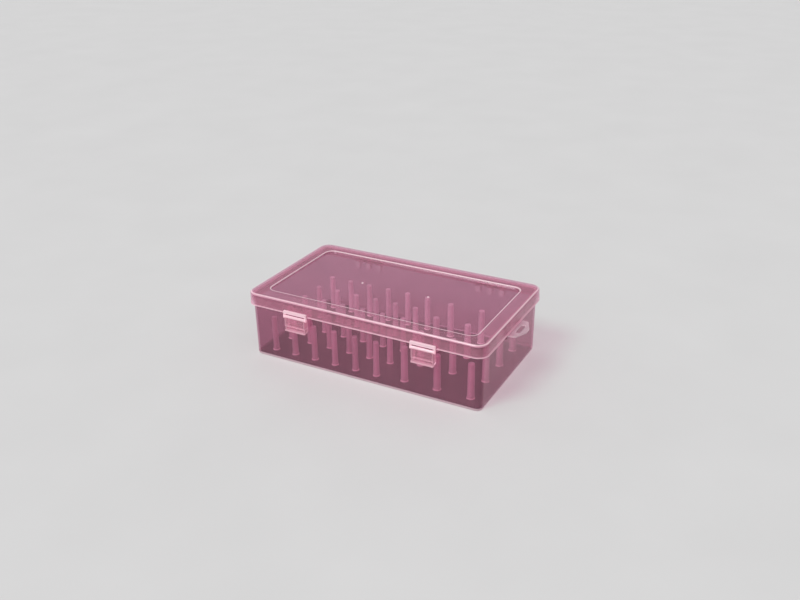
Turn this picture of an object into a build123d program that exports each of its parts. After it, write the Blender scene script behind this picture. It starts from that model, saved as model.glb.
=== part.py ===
from build123d import *

import math
import os

# A lidded plastic box that stores spools of sewing thread on upright pegs.
# The origin is the centre of the underside. +X runs along the box towards the end with the hang tab,
# -Y is the front with its two latches, and +Z is up. All sizes are millimetres.

# Lid: a shallow shell whose skirt hangs outside the tray.
LENGTH = 250.0
WIDTH = 143.0
HEIGHT = 67.5
SKIRT_BOTTOM = 55.2
LID_CORNER = 11.3
LID_WALL = 1.6
LID_DRAFT = 0.55
LID_EDGE_ROUND = 1.8
PANEL_INSET = 15.6
PANEL_DEPTH = 1.5
PANEL_CORNER = 8.0
PANEL_DRAFT = 0.5
PANEL_EDGE_ROUND = 0.6
GATE_MARK_X = 36.0
GATE_MARK_RADIUS = 1.1
GATE_MARK_TIP_RADIUS = 0.8
GATE_MARK_HEIGHT = 0.5

# Tray: four drafted walls on a flat floor. Insets are measured from the lid's outer edge.
RIM_TOP = 65.4
FOOT_INSET = 4.2
RIM_INSET = 3.6
TRAY_CORNER = 6.0
TRAY_WALL = 1.6
FLOOR = 1.6
FOOT_ROUND = 2.0
FLOOR_ROUND = 1.2

# Pegs: six columns of five for small spools, then three columns of four for large ones.
PEG_TOP = 37.3
PEG_CAP = 1.4
PEG_WALL = 1.15
PEG_TIP_ROUND = 0.6
FOOT_RING_HEIGHT = 1.2
FOOT_RING_TAPER = 0.5
SMALL_COLUMNS = 6
SMALL_ROWS = 5
SMALL_FIRST_X = -106.0
SMALL_PITCH_X = 22.9
SMALL_PITCH_Y = 26.85
SMALL_BASE_RADIUS = 2.95
SMALL_TIP_RADIUS = 2.6
SMALL_FOOT_RADIUS = 3.6
LARGE_COLUMNS = 3
LARGE_ROWS = 4
LARGE_FIRST_X = 36.6
LARGE_PITCH_X = 33.7
LARGE_PITCH_Y = 33.6
LARGE_BASE_RADIUS = 3.4
LARGE_TIP_RADIUS = 3.05
LARGE_FOOT_RADIUS = 4.05

# Rear hinges: five knuckles each, three on the tray and two on the lid, on one steel pin.
HINGE_X = 70.0
HINGE_Y = 74.4
HINGE_Z = 55.2
KNUCKLE_RADIUS = 2.4
KNUCKLE_LENGTH = 6.0
KNUCKLE_GAP = 0.4
KNUCKLE_COUNT = 5
PIN_RADIUS = 1.0
PIN_RUNNING_GAP = 0.06
PIN_SEAT_GAP = 0.02
PIN_END_CAP = 1.0
PIN_END_GAP = 0.1
EAR_ROOT_Z = 46.0
KNUCKLE_ARM_TOP = 61.0
SKIRT_GAP = 0.5

# Front latches: each turns on two stub pins held by ears under a ledge on the lid's skirt.
LATCH_X = 67.0
LATCH_PIVOT_Y = -73.4
LATCH_PIVOT_Z = 52.9
LATCH_BARREL_RADIUS = 1.5
LATCH_HALF_WIDTH = 11.0
LATCH_STUB_RADIUS = 0.9
LATCH_STUB_LENGTH = 1.3
LATCH_SIDE_GAP = 0.25
LATCH_EAR = 1.1
LATCH_PLATE = 1.3
LATCH_STEP_Z = 43.6
LATCH_STEP_DEPTH = 0.7
LATCH_BOTTOM = 38.4
LATCH_LIP_HEIGHT = 1.6
LATCH_LIP_REACH = 0.3
LEDGE_TOP = 58.8
LEDGE_BOTTOM = 56.0
LEDGE_FRONT = -74.1
LEDGE_ROUND = 0.6
CHEEK = 1.2
CHEEK_TOP_Z = 52.0
CHEEK_TOP_Y = -69.4
CHEEK_LOW_Z = 41.0
CHEEK_LOW_Y = -68.5
CHEEK_FOOT_Z = 39.0
CHEEK_FOOT_Y = -70.5
HOOK_TIP_Y = -70.4
HOOK_ROOT_Z = 39.2
HOOK_LOW_Z = 40.6
HOOK_TOP_Z = 41.7
CATCH_TIP_Y = -70.1
CATCH_LOW_Z = 42.4
CATCH_LAND = 0.8
CATCH_ROOT_TOP_Z = 45.6
CATCH_HALF_WIDTH = 8.5

# Hang tab: a flat loop whose root slides into a bracket on the right-hand end wall.
TAB_ROOT_X = 121.9
TAB_ROOT_HALF = 17.8
TAB_SHOULDER_X = 131.2
TAB_SHOULDER_HALF = 16.3
TAB_NOSE_X = 136.6
TAB_NOSE_HALF = 4.0
TAB_ROUND = 1.6
TAB_BOTTOM = 52.9
TAB_THICKNESS = 1.3
SLOT_X = 129.7
SLOT_WIDTH = 5.0
SLOT_LENGTH = 18.0
BRACKET_OUTER_X = 124.4
BRACKET_HALF = 19.4
BRACKET_BOTTOM = 50.9
BRACKET_TOP = 54.9
BRACKET_GAP = 0.1

EMBED = 0.9  # how far a boss runs into the wall that carries it
OVERCUT = 1.0  # how far a cut runs past the face it leaves by
ON_FLOOR = (Align.CENTER, Align.CENTER, Align.MIN)  # a solid that stands on its own origin


def rounded_frustum(low, high, z_low, z_high):
    """Solid between two rounded rectangles, each given as (length, width, corner radius)."""
    bottom = Plane.XY.offset(z_low) * RectangleRounded(*low)
    top = Plane.XY.offset(z_high) * RectangleRounded(*high)
    return loft([bottom.face(), top.face()], ruled=True)


def side_profile(points, x_low, x_high):
    """Prism along X over an outline given as (y, z) points."""
    face = make_face(Polyline(*points, close=True))
    return extrude(Plane.YZ.offset(x_low) * face, amount=x_high - x_low, dir=(1, 0, 0))


def rod(x_low, x_high, y, z, radius):
    """Round bar along X."""
    disc = Plane.YZ.offset(x_low) * Pos(y, z) * Circle(radius)
    return extrude(disc, amount=x_high - x_low, dir=(1, 0, 0))


def block(x_low, x_high, y_low, y_high, z_low, z_high):
    """Box between two corners."""
    centre = Pos((x_low + x_high) / 2, (y_low + y_high) / 2, (z_low + z_high) / 2)
    return centre * Box(x_high - x_low, y_high - y_low, z_high - z_low)


def tray_section(z, inset=0.0):
    """Length, width and corner radius of the tray at height z, pulled in by inset."""
    share = z / RIM_TOP
    side = FOOT_INSET + (RIM_INSET - FOOT_INSET) * share + inset
    return (LENGTH - 2 * side, WIDTH - 2 * side, TRAY_CORNER + share - inset)


def lid_section(z, inset=0.0):
    """Length, width and corner radius of the lid's skirt at height z, pulled in by inset."""
    side = LID_DRAFT * (z - SKIRT_BOTTOM) / (HEIGHT - SKIRT_BOTTOM) + inset
    return (LENGTH - 2 * side, WIDTH - 2 * side, LID_CORNER - side)


def knuckle_span(centre_x, index):
    """Lowest and highest x of one knuckle, counted from the left end of its hinge."""
    total = KNUCKLE_COUNT * KNUCKLE_LENGTH + (KNUCKLE_COUNT - 1) * KNUCKLE_GAP
    start = centre_x - total / 2 + index * (KNUCKLE_LENGTH + KNUCKLE_GAP)
    return start, start + KNUCKLE_LENGTH


def pin_span(centre_x):
    """Lowest and highest x of a hinge pin, which the end knuckles cap."""
    low = knuckle_span(centre_x, 0)[0] + PIN_END_CAP + PIN_END_GAP
    high = knuckle_span(centre_x, KNUCKLE_COUNT - 1)[1] - PIN_END_CAP - PIN_END_GAP
    return low, high


def tray_ear(centre_x, index):
    """Knuckle of the tray, on a gusset that passes under the lid's skirt."""
    x_low, x_high = knuckle_span(centre_x, index)
    wall_y = tray_section(EAR_ROOT_Z, EMBED)[1] / 2
    lean = KNUCKLE_RADIUS * math.sqrt(0.5)
    under_skirt = SKIRT_BOTTOM - SKIRT_GAP
    outline = [
        (wall_y, EAR_ROOT_Z),
        (HINGE_Y + lean, HINGE_Z - lean),
        (HINGE_Y, under_skirt),
        (wall_y, under_skirt),
    ]
    return side_profile(outline, x_low, x_high) + rod(x_low, x_high, HINGE_Y, HINGE_Z, KNUCKLE_RADIUS)


def lid_knuckle(centre_x, index):
    """Knuckle of the lid, on an arm that leaves the skirt's outer face."""
    x_low, x_high = knuckle_span(centre_x, index)
    skirt_y = WIDTH / 2 - EMBED
    lean = KNUCKLE_RADIUS * math.sqrt(0.5)
    outline = [
        (skirt_y, SKIRT_BOTTOM),
        (HINGE_Y, HINGE_Z),
        (HINGE_Y + lean, HINGE_Z + lean),
        (skirt_y, KNUCKLE_ARM_TOP),
    ]
    return side_profile(outline, x_low, x_high) + rod(x_low, x_high, HINGE_Y, HINGE_Z, KNUCKLE_RADIUS)


def make_tray():
    """Open tray with hinge ears behind, catch ribs in front and the hang tab's bracket."""
    shell = rounded_frustum(tray_section(0), tray_section(RIM_TOP), 0, RIM_TOP)
    shell = fillet(shell.edges().group_by(Axis.Z)[0], FOOT_ROUND)
    above = RIM_TOP + OVERCUT
    hollow = rounded_frustum(tray_section(FLOOR, TRAY_WALL), tray_section(above, TRAY_WALL), FLOOR, above)
    hollow = fillet(hollow.edges().group_by(Axis.Z)[0], FLOOR_ROUND)
    for centre_x in (-HINGE_X, HINGE_X):
        for index in range(0, KNUCKLE_COUNT, 2):
            shell += tray_ear(centre_x, index)
    for centre_x in (-LATCH_X, LATCH_X):
        shell += catch_rib(centre_x)
    wall_x = tray_section(BRACKET_BOTTOM, EMBED)[0] / 2
    shell += block(wall_x, BRACKET_OUTER_X, -BRACKET_HALF, BRACKET_HALF, BRACKET_BOTTOM, BRACKET_TOP)
    shell -= hollow
    for centre_x in (-HINGE_X, HINGE_X):
        x_low, x_high = pin_span(centre_x)
        bore = PIN_RADIUS + PIN_SEAT_GAP
        shell -= rod(x_low - PIN_END_GAP, x_high + PIN_END_GAP, HINGE_Y, HINGE_Z, bore)
    slot_top = TAB_BOTTOM + TAB_THICKNESS + BRACKET_GAP
    slot_half = TAB_ROOT_HALF + BRACKET_GAP
    slot_inner = TAB_ROOT_X - BRACKET_GAP
    shell -= block(slot_inner, BRACKET_OUTER_X + OVERCUT, -slot_half, slot_half, TAB_BOTTOM, slot_top)
    return shell


def catch_rib(centre_x):
    """Wedge-topped rib on the front wall that a latch closes over."""
    wall_y = -tray_section(CATCH_LOW_Z, EMBED)[1] / 2
    outline = [
        (wall_y, CATCH_LOW_Z),
        (CATCH_TIP_Y, CATCH_LOW_Z),
        (CATCH_TIP_Y, CATCH_LOW_Z + CATCH_LAND),
        (wall_y, CATCH_ROOT_TOP_Z),
    ]
    return side_profile(outline, centre_x - CATCH_HALF_WIDTH, centre_x + CATCH_HALF_WIDTH)


def latch_mount(centre_x):
    """Ledge and two ears on the front of the skirt that carry one latch."""
    half = LATCH_HALF_WIDTH + LATCH_SIDE_GAP + LATCH_EAR
    skirt_y = -WIDTH / 2 + EMBED
    ledge = block(centre_x - half, centre_x + half, LEDGE_FRONT, skirt_y, LEDGE_BOTTOM, LEDGE_TOP)
    mount = fillet(ledge.edges().filter_by(Axis.X).sort_by(Axis.Z)[-2:].sort_by(Axis.Y)[0], LEDGE_ROUND)
    ear_outline = [
        (skirt_y, LEDGE_BOTTOM + EMBED),
        (LEDGE_FRONT, LEDGE_BOTTOM + EMBED),
        (LATCH_PIVOT_Y - LATCH_BARREL_RADIUS, LATCH_PIVOT_Z),
        (LATCH_PIVOT_Y + LATCH_BARREL_RADIUS, LATCH_PIVOT_Z),
        (skirt_y, SKIRT_BOTTOM),
    ]
    for x_low in (centre_x - half, centre_x + half - LATCH_EAR):
        x_high = x_low + LATCH_EAR
        mount += side_profile(ear_outline, x_low, x_high)
        mount += rod(x_low, x_high, LATCH_PIVOT_Y, LATCH_PIVOT_Z, LATCH_BARREL_RADIUS)
    bore = LATCH_STUB_RADIUS + PIN_RUNNING_GAP
    reach = half + OVERCUT
    return mount - rod(centre_x - reach, centre_x + reach, LATCH_PIVOT_Y, LATCH_PIVOT_Z, bore)


def top_frame(lid):
    """Flat face that runs round the sunken panel."""
    return lid.faces().sort_by(Axis.Z)[-1]


def make_lid():
    """Lid with a sunken panel, a drafted skirt, two rear knuckles a side and two latch mounts."""
    panel_z = HEIGHT - PANEL_DEPTH
    panel = (LENGTH - 2 * PANEL_INSET, WIDTH - 2 * PANEL_INSET, PANEL_CORNER)
    sunk = (panel[0] - 2 * PANEL_DRAFT, panel[1] - 2 * PANEL_DRAFT, PANEL_CORNER - PANEL_DRAFT)
    recess = rounded_frustum(sunk, panel, panel_z, HEIGHT)
    lid = rounded_frustum(lid_section(SKIRT_BOTTOM), lid_section(HEIGHT), SKIRT_BOTTOM, HEIGHT)
    lid -= fillet(recess.edges().group_by(Axis.Z)[0], PANEL_EDGE_ROUND)
    lid = fillet(top_frame(lid).inner_wires()[0].edges(), PANEL_EDGE_ROUND)
    lid = fillet(top_frame(lid).outer_wire().edges(), LID_EDGE_ROUND)
    for centre_x in (-LATCH_X, LATCH_X):
        lid += latch_mount(centre_x)
    for centre_x in (-HINGE_X, HINGE_X):
        for index in range(1, KNUCKLE_COUNT, 2):
            lid += lid_knuckle(centre_x, index)
    under = HEIGHT - LID_WALL
    hollow = rounded_frustum(
        lid_section(SKIRT_BOTTOM, LID_WALL), lid_section(under, LID_WALL), SKIRT_BOTTOM, under
    )
    backing = (panel[0] + 2 * LID_WALL, panel[1] + 2 * LID_WALL, PANEL_CORNER + LID_WALL)
    hollow -= rounded_frustum(panel, backing, panel_z - LID_WALL, under)
    lid -= hollow
    for centre_x in (-HINGE_X, HINGE_X):
        x_low, x_high = pin_span(centre_x)
        lid -= rod(x_low, x_high, HINGE_Y, HINGE_Z, PIN_RADIUS + PIN_RUNNING_GAP)
    mark = Cone(GATE_MARK_RADIUS, GATE_MARK_TIP_RADIUS, GATE_MARK_HEIGHT, align=ON_FLOOR)
    for mark_x in (-GATE_MARK_X, GATE_MARK_X):
        lid += Pos(mark_x, 0, panel_z) * mark
    return lid


def make_latch(centre_x):
    """Latch: a barrel on stub pins, a hanging plate with side cheeks, a hook and a finger lip."""
    x_low = centre_x - LATCH_HALF_WIDTH
    x_high = centre_x + LATCH_HALF_WIDTH
    front = LATCH_PIVOT_Y - LATCH_BARREL_RADIUS
    back = front + LATCH_PLATE
    step_front = front + LATCH_STEP_DEPTH
    step_back = back + LATCH_STEP_DEPTH
    lip_top = LATCH_BOTTOM + LATCH_LIP_HEIGHT
    plate = [
        (front, LATCH_PIVOT_Z),
        (front, LATCH_STEP_Z),
        (step_front, LATCH_STEP_Z),
        (step_front, lip_top),
        (front - LATCH_LIP_REACH, lip_top - LATCH_LIP_REACH),
        (front - LATCH_LIP_REACH, LATCH_BOTTOM),
        (step_back, LATCH_BOTTOM),
        (step_back, LATCH_STEP_Z),
        (back, LATCH_STEP_Z + LATCH_STEP_DEPTH),
        (back, LATCH_PIVOT_Z),
    ]
    hook = [
        (back, HOOK_ROOT_Z),
        (HOOK_TIP_Y, HOOK_LOW_Z),
        (HOOK_TIP_Y, HOOK_TOP_Z),
        (back - LATCH_PLATE / 2, HOOK_TOP_Z),
    ]
    cheek = [
        (back - LATCH_PLATE / 2, LATCH_PIVOT_Z),
        (LATCH_PIVOT_Y, LATCH_PIVOT_Z - LATCH_BARREL_RADIUS / 2),
        (CHEEK_TOP_Y, CHEEK_TOP_Z),
        (CHEEK_LOW_Y, CHEEK_LOW_Z),
        (CHEEK_FOOT_Y, CHEEK_FOOT_Z),
        (step_front + LATCH_PLATE / 2, CHEEK_FOOT_Z),
        (step_front + LATCH_PLATE / 2, LATCH_STEP_Z),
        (back - LATCH_PLATE / 2, LATCH_STEP_Z + LATCH_STEP_DEPTH),
    ]
    latch = side_profile(plate, x_low, x_high)
    latch += rod(x_low, x_high, LATCH_PIVOT_Y, LATCH_PIVOT_Z, LATCH_BARREL_RADIUS)
    latch += side_profile(cheek, x_low, x_low + CHEEK)
    latch += side_profile(cheek, x_high - CHEEK, x_high)
    latch += side_profile(hook, centre_x - CATCH_HALF_WIDTH, centre_x + CATCH_HALF_WIDTH)
    stub_low = x_low - LATCH_STUB_LENGTH
    stub_high = x_high + LATCH_STUB_LENGTH
    latch += rod(stub_low, stub_high, LATCH_PIVOT_Y, LATCH_PIVOT_Z, LATCH_STUB_RADIUS)
    return latch


def make_hang_tab():
    """Flat loop with a long slot, for hanging the box from a hook."""
    outline = [
        (TAB_ROOT_X, -TAB_ROOT_HALF),
        (TAB_SHOULDER_X, -TAB_SHOULDER_HALF),
        (TAB_NOSE_X, -TAB_NOSE_HALF),
        (TAB_NOSE_X, TAB_NOSE_HALF),
        (TAB_SHOULDER_X, TAB_SHOULDER_HALF),
        (TAB_ROOT_X, TAB_ROOT_HALF),
    ]
    face = make_face(Polyline(*outline, close=True))
    outer_corners = [vertex for vertex in face.vertices() if vertex.X > BRACKET_OUTER_X]
    face = fillet(outer_corners, TAB_ROUND)
    face -= Pos(SLOT_X, 0) * SlotOverall(SLOT_LENGTH, SLOT_WIDTH, rotation=90)
    return extrude(Pos(0, 0, TAB_BOTTOM) * face, amount=TAB_THICKNESS, dir=(0, 0, 1))


def make_peg(base_radius, tip_radius, foot_radius):
    """Hollow tapered peg with a closed tip and a flared ring round its foot, standing on z = FLOOR."""
    height = PEG_TOP - FLOOR
    shaft = Cone(base_radius, tip_radius, height, align=ON_FLOOR)
    shaft = fillet(shaft.edges().sort_by(Axis.Z)[-1], PEG_TIP_ROUND)
    ring = Cone(foot_radius, foot_radius - FOOT_RING_TAPER, FOOT_RING_HEIGHT, align=ON_FLOOR)
    bore = Cone(base_radius - PEG_WALL, tip_radius - PEG_WALL, height - PEG_CAP, align=ON_FLOOR)
    return Pos(0, 0, FLOOR) * (shaft + ring - bore)


def peg_places(columns, rows, first_x, pitch_x, pitch_y):
    """Row number, column number, x and y of each peg of a block that is centred on y = 0."""
    for row in range(rows):
        for column in range(columns):
            y = (row - (rows - 1) / 2) * pitch_y
            yield row + 1, column + 1, first_x + column * pitch_x, y


def make_pegs():
    """Every peg by its node name. Rows are counted from the front and columns from the left."""
    small = make_peg(SMALL_BASE_RADIUS, SMALL_TIP_RADIUS, SMALL_FOOT_RADIUS)
    large = make_peg(LARGE_BASE_RADIUS, LARGE_TIP_RADIUS, LARGE_FOOT_RADIUS)
    small_places = peg_places(SMALL_COLUMNS, SMALL_ROWS, SMALL_FIRST_X, SMALL_PITCH_X, SMALL_PITCH_Y)
    large_places = peg_places(LARGE_COLUMNS, LARGE_ROWS, LARGE_FIRST_X, LARGE_PITCH_X, LARGE_PITCH_Y)
    pegs = {}
    for row, column, x, y in small_places:
        pegs[f"small_peg_row{row}_col{column}"] = Pos(x, y, 0) * small
    for row, column, x, y in large_places:
        pegs[f"large_peg_row{row}_col{column}"] = Pos(x, y, 0) * large
    return pegs


def make_nodes():
    """Every sub-part of the box by its node name."""
    nodes = {
        "base_tray": make_tray(),
        "lid": make_lid(),
        "latch_left": make_latch(-LATCH_X),
        "latch_right": make_latch(LATCH_X),
        "hang_tab": make_hang_tab(),
    }
    for name, centre_x in (("hinge_pin_left", -HINGE_X), ("hinge_pin_right", HINGE_X)):
        x_low, x_high = pin_span(centre_x)
        nodes[name] = rod(x_low, x_high, HINGE_Y, HINGE_Z, PIN_RADIUS)
    nodes.update(make_pegs())
    return nodes


os.makedirs("parts", exist_ok=True)
for name, shape in make_nodes().items():
    export_step(shape, f"parts/{name}.step")
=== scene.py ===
import math

import bpy
from mathutils import Matrix, Vector


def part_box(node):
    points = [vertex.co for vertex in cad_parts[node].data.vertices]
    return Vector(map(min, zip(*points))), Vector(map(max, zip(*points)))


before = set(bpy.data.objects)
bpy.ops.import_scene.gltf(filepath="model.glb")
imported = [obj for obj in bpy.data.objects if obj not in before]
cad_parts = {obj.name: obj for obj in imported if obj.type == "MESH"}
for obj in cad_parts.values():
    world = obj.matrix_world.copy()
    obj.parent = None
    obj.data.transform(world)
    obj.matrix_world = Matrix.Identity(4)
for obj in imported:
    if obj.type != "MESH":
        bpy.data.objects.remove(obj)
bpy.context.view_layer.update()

# Camera, in metres and degrees. Azimuth 0 looks along +Y, and elevation is how far it looks down.
CAMERA_PLACE = (0.3711, -0.6747, 0.4215)
CAMERA_AZIMUTH = 28.446
CAMERA_ELEVATION = 25.435
CAMERA_ROLL = -0.719
CAMERA_LENS_MM = 39.54
SENSOR_MM = 36.0

# Colours as linear red, green and blue. A tint is what one surface of a wall lets through.
PINK_BODY = (0.88, 0.45, 0.56)
PINK_TINT = (0.86, 0.71, 0.79)
TRAY_TINT = (0.76, 0.57, 0.66)
# The floor's deeper tint is a painted shade over the ground seen through it.
TRAY_FLOOR_SHADE_TINT = (0.39, 0.21, 0.31)
TRAY_EAR_TINT = (0.94, 0.89, 0.91)
LAMP_TINT = (0.955, 0.90, 0.925)
# The pegs' paler pink is painted lighter, standing in for the light they catch.
PEG_PAINTED_LIGHT_BODY = (0.97, 0.84, 0.89)
PEG_TINT = (0.95, 0.82, 0.88)
# Pale paint of the painted highlights, where edges stand in for gathered light, and of the lid's gate
# marks.
PAINTED_GLOW_AND_GATE_PALE = (1.0, 0.86, 0.89)
CLEAR_BODY = (0.80, 0.64, 0.69)
CLEAR_TINT = (0.86, 0.78, 0.82)
WHITE = (1.0, 1.0, 1.0)
STEEL_DARK = (0.42, 0.42, 0.43)
STEEL_PALE = (0.68, 0.68, 0.69)
FLOOR_DARK = (0.50, 0.495, 0.49)
FLOOR_PALE = (0.54, 0.535, 0.53)
SKY = (0.96, 0.97, 1.0)

# The moulded skin's relief. Scales are per metre, and heights are shares of RELIEF, in metres.
RELIEF = 0.001
WAVE_SCALE = 22.0
WAVE_HEIGHT = 0.03
GRAIN_SCALE = 1400.0
GRAIN_HEIGHT = 0.006
SCUFF_SCALES = (60.0, 1400.0, 1400.0)
SCUFF_HEIGHT = 0.004
GLOSS_ROUGHNESS = (0.20, 0.28)

# How one surface of the plastic shares light out. Milk is the share that scatters, and mirror the
# share that the gloss reflects. A power says how sharply its share rises towards edge on. Onward is
# how much of the scattered light comes out on the far side. Cloud varies the milk and tone the colour.
MILK_POWER = 4.0
MOST_MILK = 0.95
# The milk of the painted highlights and of the gate marks.
PAINTED_GLOW_AND_GATE_MILK = 0.85
CLOUD_SCALE = 30.0
CLOUD_RANGE = (0.85, 1.15)
TONE_SCALE = 12.0
TONE_CHANGE = 0.04
ONWARD_SHARE = 0.45
MIRROR_POWER = 5.0
MIRROR_SQUARE_ON = 0.04
MIRROR_ADDED_EDGE_ON = 0.7

# The drawn steel's lines, with scales per metre and depth in metres.
STEEL_LINE_SCALES = (80.0, 4000.0, 4000.0)
STEEL_LINE_DEPTH = 0.00002
STEEL_ROUGHNESS = (0.22, 0.38)

# The studio. Its size is in metres, and its scale per metre. TOWARDS_SUN points from the box.
STUDIO_SIZE = 30.0
STUDIO_MOTTLE_SCALE = 9.0
STUDIO_ROUGHNESS = 0.62
SKY_STRENGTH = 0.52
SUN_STRENGTH = 3.3
SUN_SPREAD = 22.0  # degrees
TOWARDS_SUN = (-0.35, -0.75, 1.0)
SURFACES_SEEN_THROUGH = 64

# Places in metres where the paint, milk or tint changes, mostly painted highlights at thin or turned
# edges, which gather the light, and the painted shade of the tray's floor.
LID_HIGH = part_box("lid")[1]
TRAY_LOW, TRAY_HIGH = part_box("base_tray")
PEG_LOW, PEG_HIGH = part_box("small_peg_row1_col1")
LID_HALF_WIDTH = 0.0715
LID_CORNER = 0.0113
LID_EDGE = 0.0016
PANEL_INSET = 0.0156
PANEL_CORNER = 0.008
PANEL_DEPTH = 0.0015
SKIRT_BOTTOM_Z = 0.0552
LEDGE_Y = -0.0719
LID_KNUCKLE_Y = 0.0719
TRAY_EAR_Y = 0.0690
GATE_MARK_X = 0.036
GATE_MARK_RADIUS = 0.0012
LATCH_X = 0.067
LATCH_MOUNT_HALF = 0.0123
LATCH_STEP_Z = 0.0436
LATCH_LIP_Z = 0.0400
LATCH_BARREL_Z = 0.0523
CHEEK_X = 0.0098
FOOT_HALF_LENGTH = 0.1208
FOOT_HALF_WIDTH = 0.0673
FOOT_CORNER = 0.006
FOOT_ROUND = 0.002
FLOOR_TOP_Z = 0.0016
# Height up to which the tray's floor gets its painted shade tint.
FLOOR_SHADE_TOP_Z = FLOOR_TOP_Z * 1.9
SOFT = 0.0004  # half the width over which one finish turns into the next


class Nodes:
    """A material's node tree, with one short call for each kind of node."""

    def __init__(self, name):
        self.material = bpy.data.materials.new(name)
        self.material.use_nodes = True
        self.tree = self.material.node_tree
        self.tree.nodes.clear()
        self.coords = self.add("ShaderNodeTexCoord").outputs["Object"]
        split = self.add("ShaderNodeSeparateXYZ")
        self.put(split.inputs[0], self.coords)
        self.x, self.y, self.z = split.outputs

    def add(self, kind, **settings):
        node = self.tree.nodes.new(kind)
        for key, value in settings.items():
            setattr(node, key, value)
        return node

    def put(self, socket, value):
        """Feeds a socket from another socket, or sets it to a plain value."""
        if isinstance(value, bpy.types.NodeSocket):
            self.tree.links.new(value, socket)
        elif isinstance(value, tuple) and len(value) == 3 and len(socket.default_value) == 4:
            socket.default_value = (*value, 1.0)
        else:
            socket.default_value = value

    def math(self, operation, a, b=0.0):
        node = self.add("ShaderNodeMath", operation=operation)
        self.put(node.inputs[0], a)
        self.put(node.inputs[1], b)
        return node.outputs[0]

    def plus(self, a, b):
        return self.math("ADD", a, b)

    def minus(self, a, b):
        return self.math("SUBTRACT", a, b)

    def times(self, a, b):
        return self.math("MULTIPLY", a, b)

    def size(self, value):
        """The value without its sign."""
        return self.math("ABSOLUTE", value)

    def most(self, *values):
        """Largest of several values."""
        result = values[0]
        for value in values[1:]:
            result = self.math("MAXIMUM", result, value)
        return result

    def stretch(self, scale):
        """Object coordinates in metres, scaled along each axis."""
        node = self.add("ShaderNodeMapping")
        self.put(node.inputs["Vector"], self.coords)
        self.put(node.inputs["Scale"], scale)
        return node.outputs[0]

    def noise(self, scale, detail=2.0, vector=None):
        node = self.add("ShaderNodeTexNoise")
        self.put(node.inputs["Vector"], self.coords if vector is None else vector)
        self.put(node.inputs["Scale"], scale)
        self.put(node.inputs["Detail"], detail)
        return node.outputs["Fac"]

    def bump(self, height, distance):
        """Normal that height raises by up to distance, in metres."""
        node = self.add("ShaderNodeBump")
        self.put(node.inputs["Height"], height)
        self.put(node.inputs["Strength"], 1.0)
        self.put(node.inputs["Distance"], distance)
        return node.outputs[0]

    def between(self, value, low, high, out_low=0.0, out_high=1.0):
        """Eases value from low..high to out_low..out_high and holds it there outside."""
        node = self.add("ShaderNodeMapRange", interpolation_type="SMOOTHSTEP")
        for socket, number in zip(node.inputs, (value, low, high, out_low, out_high)):
            self.put(socket, number)
        return node.outputs[0]

    def above(self, value, edge, strength=1.0):
        """strength where value is over edge, and 0 under it."""
        return self.between(value, edge - SOFT, edge + SOFT, 0.0, strength)

    def below(self, value, edge, strength=1.0):
        """strength where value is under edge, and 0 over it."""
        return self.between(value, edge - SOFT, edge + SOFT, strength, 0.0)

    def band(self, value, centre, half_width, strength=1.0):
        """strength where value is at centre, falling to 0 half_width away from it."""
        away = self.size(self.minus(value, centre))
        return self.between(away, half_width * 0.4, half_width, strength, 0.0)

    def outside_of(self, half_length, half_width, corner):
        """Distance outside a rounded rectangle seen from above, and below 0 inside it."""
        over_x = self.minus(self.size(self.x), half_length - corner)
        over_y = self.minus(self.size(self.y), half_width - corner)
        out_x = self.math("MAXIMUM", over_x, 0.0)
        out_y = self.math("MAXIMUM", over_y, 0.0)
        round_part = self.span(out_x, out_y)
        flat_part = self.math("MINIMUM", self.math("MAXIMUM", over_x, over_y), 0.0)
        return self.minus(self.plus(round_part, flat_part), corner)

    def span(self, along_x, along_y):
        """Length of the diagonal of two distances."""
        return self.math("SQRT", self.plus(self.times(along_x, along_x), self.times(along_y, along_y)))

    def colour_mix(self, share, a, b):
        node = self.add("ShaderNodeMix", data_type="RGBA")
        self.put(node.inputs["Factor"], share)
        self.put(node.inputs[6], a)
        self.put(node.inputs[7], b)
        return node.outputs[2]

    def shader(self, kind, **sockets):
        node = self.add(kind)
        for key, value in sockets.items():
            self.put(node.inputs[key], value)
        return node.outputs[0]

    def shader_mix(self, share, a, b):
        node = self.add("ShaderNodeMixShader")
        self.put(node.inputs[0], share)
        self.put(node.inputs[1], a)
        self.put(node.inputs[2], b)
        return node.outputs[0]

    def finish(self, surface):
        output = self.add("ShaderNodeOutputMaterial")
        self.put(output.inputs["Surface"], surface)
        return self.material


def moulded_skin(n):
    """Normal of a moulded skin, from slow flow waves, fine grain and hairline scuffs, and the scuffs."""
    waves = n.noise(WAVE_SCALE, detail=1.0)
    grain = n.noise(GRAIN_SCALE)
    scuffs = n.noise(1.0, vector=n.stretch(SCUFF_SCALES))
    fine = n.plus(n.times(grain, GRAIN_HEIGHT), n.times(scuffs, SCUFF_HEIGHT))
    height = n.plus(n.times(waves, WAVE_HEIGHT), fine)
    return n.bump(height, RELIEF), scuffs


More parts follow.
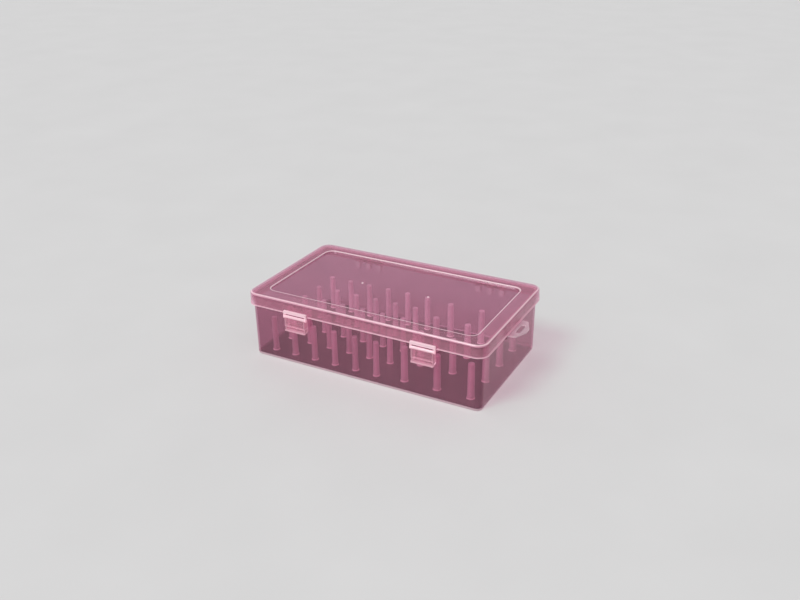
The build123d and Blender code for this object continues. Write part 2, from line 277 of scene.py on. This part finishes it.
def plastic(n, body, tint, density, grazing, painted_glow_and_gate_mark):
    """Translucent plastic: a gloss skin over a body that passes tinted light and scatters the rest.

    density is how much of the light one surface scatters when seen square on, and grazing how much
    more it scatters edge on. The last argument is 1 where an edge gets a painted highlight, pale paint
    and milk standing in for the light it gathers, and on the lid's paler gate marks, and 0 on a plain
    wall. Light from the lamps passes it nearly whole, as it does a thin clear wall."""
    normal, scuffs = moulded_skin(n)
    weight = n.add("ShaderNodeLayerWeight")
    n.put(weight.inputs["Blend"], 0.5)
    n.put(weight.inputs["Normal"], normal)
    facing = weight.outputs["Facing"]
    milk = n.plus(n.times(n.math("POWER", facing, MILK_POWER), grazing), density)
    cloudy = n.between(n.noise(CLOUD_SCALE, detail=3.0), 0.3, 0.7, *CLOUD_RANGE)
    # Painted highlights: the milk rises to the edge milk where edges are painted as gathering light.
    milk = n.most(n.times(milk, cloudy), n.times(painted_glow_and_gate_mark, PAINTED_GLOW_AND_GATE_MILK))
    milk = n.math("MINIMUM", milk, MOST_MILK)
    tone = n.between(n.noise(TONE_SCALE, detail=3.0), 0.25, 0.75)
    deeper = tuple(part * (1.0 - TONE_CHANGE) for part in body)
    paler = tuple(min(1.0, part * (1.0 + TONE_CHANGE)) for part in body)
    # Painted highlights: the paint turns pale there, and on the gate marks.
    paint = n.colour_mix(painted_glow_and_gate_mark, n.colour_mix(tone, deeper, paler), PAINTED_GLOW_AND_GATE_PALE)
    diffuse = n.shader("ShaderNodeBsdfDiffuse", Color=paint, Normal=normal)
    through = n.shader("ShaderNodeBsdfTranslucent", Color=paint, Normal=normal)
    scatter = n.shader_mix(ONWARD_SHARE, diffuse, through)
    clear = n.shader("ShaderNodeBsdfTransparent", Color=tint)
    inside = n.shader_mix(milk, clear, scatter)
    rough = n.between(scuffs, 0.35, 0.75, *GLOSS_ROUGHNESS)
    gloss = n.shader("ShaderNodeBsdfGlossy", Color=WHITE, Roughness=rough, Normal=normal)
    mirror = n.times(n.math("POWER", facing, MIRROR_POWER), MIRROR_ADDED_EDGE_ON)
    mirror = n.plus(mirror, MIRROR_SQUARE_ON)
    seen = n.shader_mix(mirror, inside, gloss)
    lamp_ray = n.add("ShaderNodeLightPath").outputs["Is Shadow Ray"]
    passing = n.shader("ShaderNodeBsdfTransparent", Color=LAMP_TINT)
    return n.finish(n.shader_mix(lamp_ray, seen, passing))


def lid_plastic():
    """Clear pink, with painted highlights on the rim, the panel's step, the skirt's foot and the thick
    pieces on it, and paler gate marks.
    """
    n = Nodes("lid_pink")
    upper = n.above(n.z, LID_HIGH.z - PANEL_DEPTH * 1.75)
    from_rim = n.outside_of(LID_HIGH.x, LID_HALF_WIDTH, LID_CORNER)
    from_panel = n.outside_of(LID_HIGH.x - PANEL_INSET, LID_HALF_WIDTH - PANEL_INSET, PANEL_CORNER)
    from_latch = n.size(n.minus(n.size(n.x), LATCH_X))
    from_mark = n.span(n.minus(n.size(n.x), GATE_MARK_X), n.y)
    # Painted highlights on the rim, the step, the skirt's foot, the latch ledge and the hinge knuckles;
    # the gate mark is a paler spot.
    rim = n.times(upper, n.band(from_rim, -LID_EDGE, half_width=0.0011, strength=0.8))
    step = n.band(from_panel, 0.0002, half_width=0.0014, strength=0.9)
    step = n.times(step, n.above(n.z, LID_HIGH.z - PANEL_DEPTH / 2))
    foot = n.band(n.z, SKIRT_BOTTOM_Z, half_width=0.0009, strength=0.8)
    foot = n.times(foot, n.above(from_latch, LATCH_MOUNT_HALF))
    ledge = n.below(n.y, LEDGE_Y, strength=0.9)
    knuckles = n.above(n.y, LID_KNUCKLE_Y, strength=0.4)
    mark = n.times(upper, n.below(from_mark, GATE_MARK_RADIUS))
    frame_milk = n.between(from_panel, -0.0005, 0.001, out_low=0.04, out_high=0.10)
    skirt_milk = n.below(n.z, LID_HIGH.z - PANEL_DEPTH * 2.5, strength=0.17)
    painted_glow_and_gate_mark = n.most(rim, step, foot, ledge, knuckles, mark)
    milk = n.most(frame_milk, skirt_milk)
    return plastic(n, PINK_BODY, PINK_TINT, density=milk, grazing=0.35, painted_glow_and_gate_mark=painted_glow_and_gate_mark)


def tray_plastic():
    """Clear pink with a deeper floor tint, a painted shade over the ground seen through it, and painted
    highlights along the bottom edge, the rim and the hinge ears, which are also clearer.
    """
    n = Nodes("tray_pink")
    from_foot = n.outside_of(FOOT_HALF_LENGTH, FOOT_HALF_WIDTH, FOOT_CORNER)
    # Painted highlights along the bottom edge, the rim and the hinge ears.
    bottom = n.band(n.z, TRAY_LOW.z + FOOT_ROUND * 0.75, half_width=FOOT_ROUND, strength=0.75)
    bottom = n.times(bottom, n.above(from_foot, -FOOT_ROUND * 0.5))
    rim = n.band(n.z, TRAY_HIGH.z, half_width=0.0014, strength=0.6)
    ears = n.above(n.y, TRAY_EAR_Y, strength=0.28)
    # Painted shade: the floor's deeper tint darkens the ground seen through it.
    tint = n.colour_mix(n.above(n.z, FLOOR_SHADE_TOP_Z), TRAY_FLOOR_SHADE_TINT, TRAY_TINT)
    tint = n.colour_mix(n.above(n.y, TRAY_EAR_Y), tint, TRAY_EAR_TINT)
    return plastic(n, PINK_BODY, tint, density=0.06, grazing=0.35, painted_glow_and_gate_mark=n.most(bottom, rim, ears))


def peg_plastic():
    """Milkier pink, painted paler to stand in for the light the pegs catch, with painted highlights at the
    flared foot and the tip.
    """
    n = Nodes("peg_pink")
    # Painted highlights at the foot and the tip.
    foot = n.below(n.z, PEG_LOW.z + 0.0013, strength=1.0)
    tip = n.above(n.z, PEG_HIGH.z - 0.0008, strength=0.45)
    return plastic(n, PEG_PAINTED_LIGHT_BODY, PEG_TINT, density=0.42, grazing=0.6, painted_glow_and_gate_mark=n.most(foot, tip))


def latch_plastic():
    """Milkier pink, with painted highlights on the barrel, the step, the finger lip and the cheeks."""
    n = Nodes("latch_pink")
    from_middle = n.size(n.minus(n.size(n.x), LATCH_X))
    # Painted highlights on the cheeks, the step, the finger lip and the barrel.
    cheek = n.above(from_middle, CHEEK_X, strength=0.4)
    step = n.band(n.z, LATCH_STEP_Z, half_width=0.0006, strength=0.65)
    lip = n.below(n.z, LATCH_LIP_Z, strength=0.5)
    barrel = n.above(n.z, LATCH_BARREL_Z, strength=0.85)
    painted_glow_and_gate_mark = n.most(cheek, step, lip, barrel)
    return plastic(n, PINK_BODY, PEG_TINT, density=0.16, grazing=0.4, painted_glow_and_gate_mark=painted_glow_and_gate_mark)


def tab_plastic():
    """Uncoloured plastic, with painted highlights on its cut edges."""
    n = Nodes("tab_clear")
    # Painted highlights on the cut edges, the faces that stand upright.
    normal = n.add("ShaderNodeNewGeometry").outputs["Normal"]
    split = n.add("ShaderNodeSeparateXYZ")
    n.put(split.inputs[0], normal)
    edge = n.between(n.size(split.outputs[2]), 0.4, 0.8, out_low=0.6, out_high=0.0)
    return plastic(n, CLEAR_BODY, CLEAR_TINT, density=0.30, grazing=0.4, painted_glow_and_gate_mark=edge)


def steel():
    """Drawn steel rod with fine lines along its length."""
    n = Nodes("pin_steel")
    lines = n.noise(1.0, detail=3.0, vector=n.stretch(STEEL_LINE_SCALES))
    normal = n.bump(lines, STEEL_LINE_DEPTH)
    shade = n.colour_mix(lines, STEEL_DARK, STEEL_PALE)
    rough = n.between(lines, 0.3, 0.7, *STEEL_ROUGHNESS)
    return n.finish(n.shader("ShaderNodeBsdfPrincipled", **{
        "Base Color": shade, "Metallic": 1.0, "Roughness": rough, "Normal": normal,
    }))


def studio_floor():
    """Wide pale floor that runs to the horizon."""
    bpy.ops.mesh.primitive_plane_add(size=STUDIO_SIZE, location=(0.0, 0.0, 0.0))
    floor = bpy.context.object
    floor.name = "studio_floor"
    n = Nodes("floor_paint")
    shade = n.colour_mix(n.noise(STUDIO_MOTTLE_SCALE, detail=4.0), FLOOR_DARK, FLOOR_PALE)
    floor.data.materials.append(n.finish(n.shader("ShaderNodeBsdfPrincipled", **{
        "Base Color": shade, "Roughness": STUDIO_ROUGHNESS,
    })))


def studio_light():
    """Broad sun-like key from the upper left front and an even surround."""
    world = bpy.data.worlds.new("studio")
    bpy.context.scene.world = world
    world.use_nodes = True
    background = world.node_tree.nodes["Background"]
    background.inputs["Color"].default_value = (*SKY, 1.0)
    background.inputs["Strength"].default_value = SKY_STRENGTH
    data = bpy.data.lights.new("key", "SUN")
    data.energy = SUN_STRENGTH
    data.angle = math.radians(SUN_SPREAD)
    key = bpy.data.objects.new("key", data)
    bpy.context.scene.collection.objects.link(key)
    key.matrix_world = Vector(TOWARDS_SUN).to_track_quat("Z", "Y").to_matrix().to_4x4()


def camera():
    """Camera at the chosen viewing angle."""
    data = bpy.data.cameras.new("camera")
    data.lens = CAMERA_LENS_MM
    data.sensor_width = SENSOR_MM
    data.clip_start = 0.01
    eye = bpy.data.objects.new("camera", data)
    bpy.context.scene.collection.objects.link(eye)
    turn = Matrix.Rotation(math.radians(CAMERA_AZIMUTH), 4, "Z")
    tilt = Matrix.Rotation(math.radians(90.0 - CAMERA_ELEVATION), 4, "X")
    roll = Matrix.Rotation(math.radians(CAMERA_ROLL), 4, "Z")
    eye.matrix_world = Matrix.Translation(CAMERA_PLACE) @ turn @ tilt @ roll
    bpy.context.scene.camera = eye


def paint(node, material, slot):
    """Gives a CAD node its material."""
    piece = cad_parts[node]
    piece.data.materials.clear()
    piece.data.materials.append(material)


def dress():
    """Every CAD node keeps its shape and gets its own finish."""
    tray = tray_plastic()
    lid = lid_plastic()
    pegs = peg_plastic()
    latch = latch_plastic()
    tab = tab_plastic()
    pin = steel()
    finishes = {
        "base_tray": (tray, "tray_plastic"),
        "lid": (lid, "lid_plastic"),
        "latch_left": (latch, "latch_plastic"),
        "latch_right": (latch, "latch_plastic"),
        "hang_tab": (tab, "tab_plastic"),
        "hinge_pin_left": (pin, "pin_steel"),
        "hinge_pin_right": (pin, "pin_steel"),
    }
    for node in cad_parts:
        material, slot = finishes.get(node, (pegs, "peg_plastic"))
        paint(node, material, slot)


camera()
studio_light()
studio_floor()
dress()
bpy.context.scene.cycles.transparent_max_bounces = SURFACES_SEEN_THROUGH
bpy.context.scene.view_settings.view_transform = "Standard"
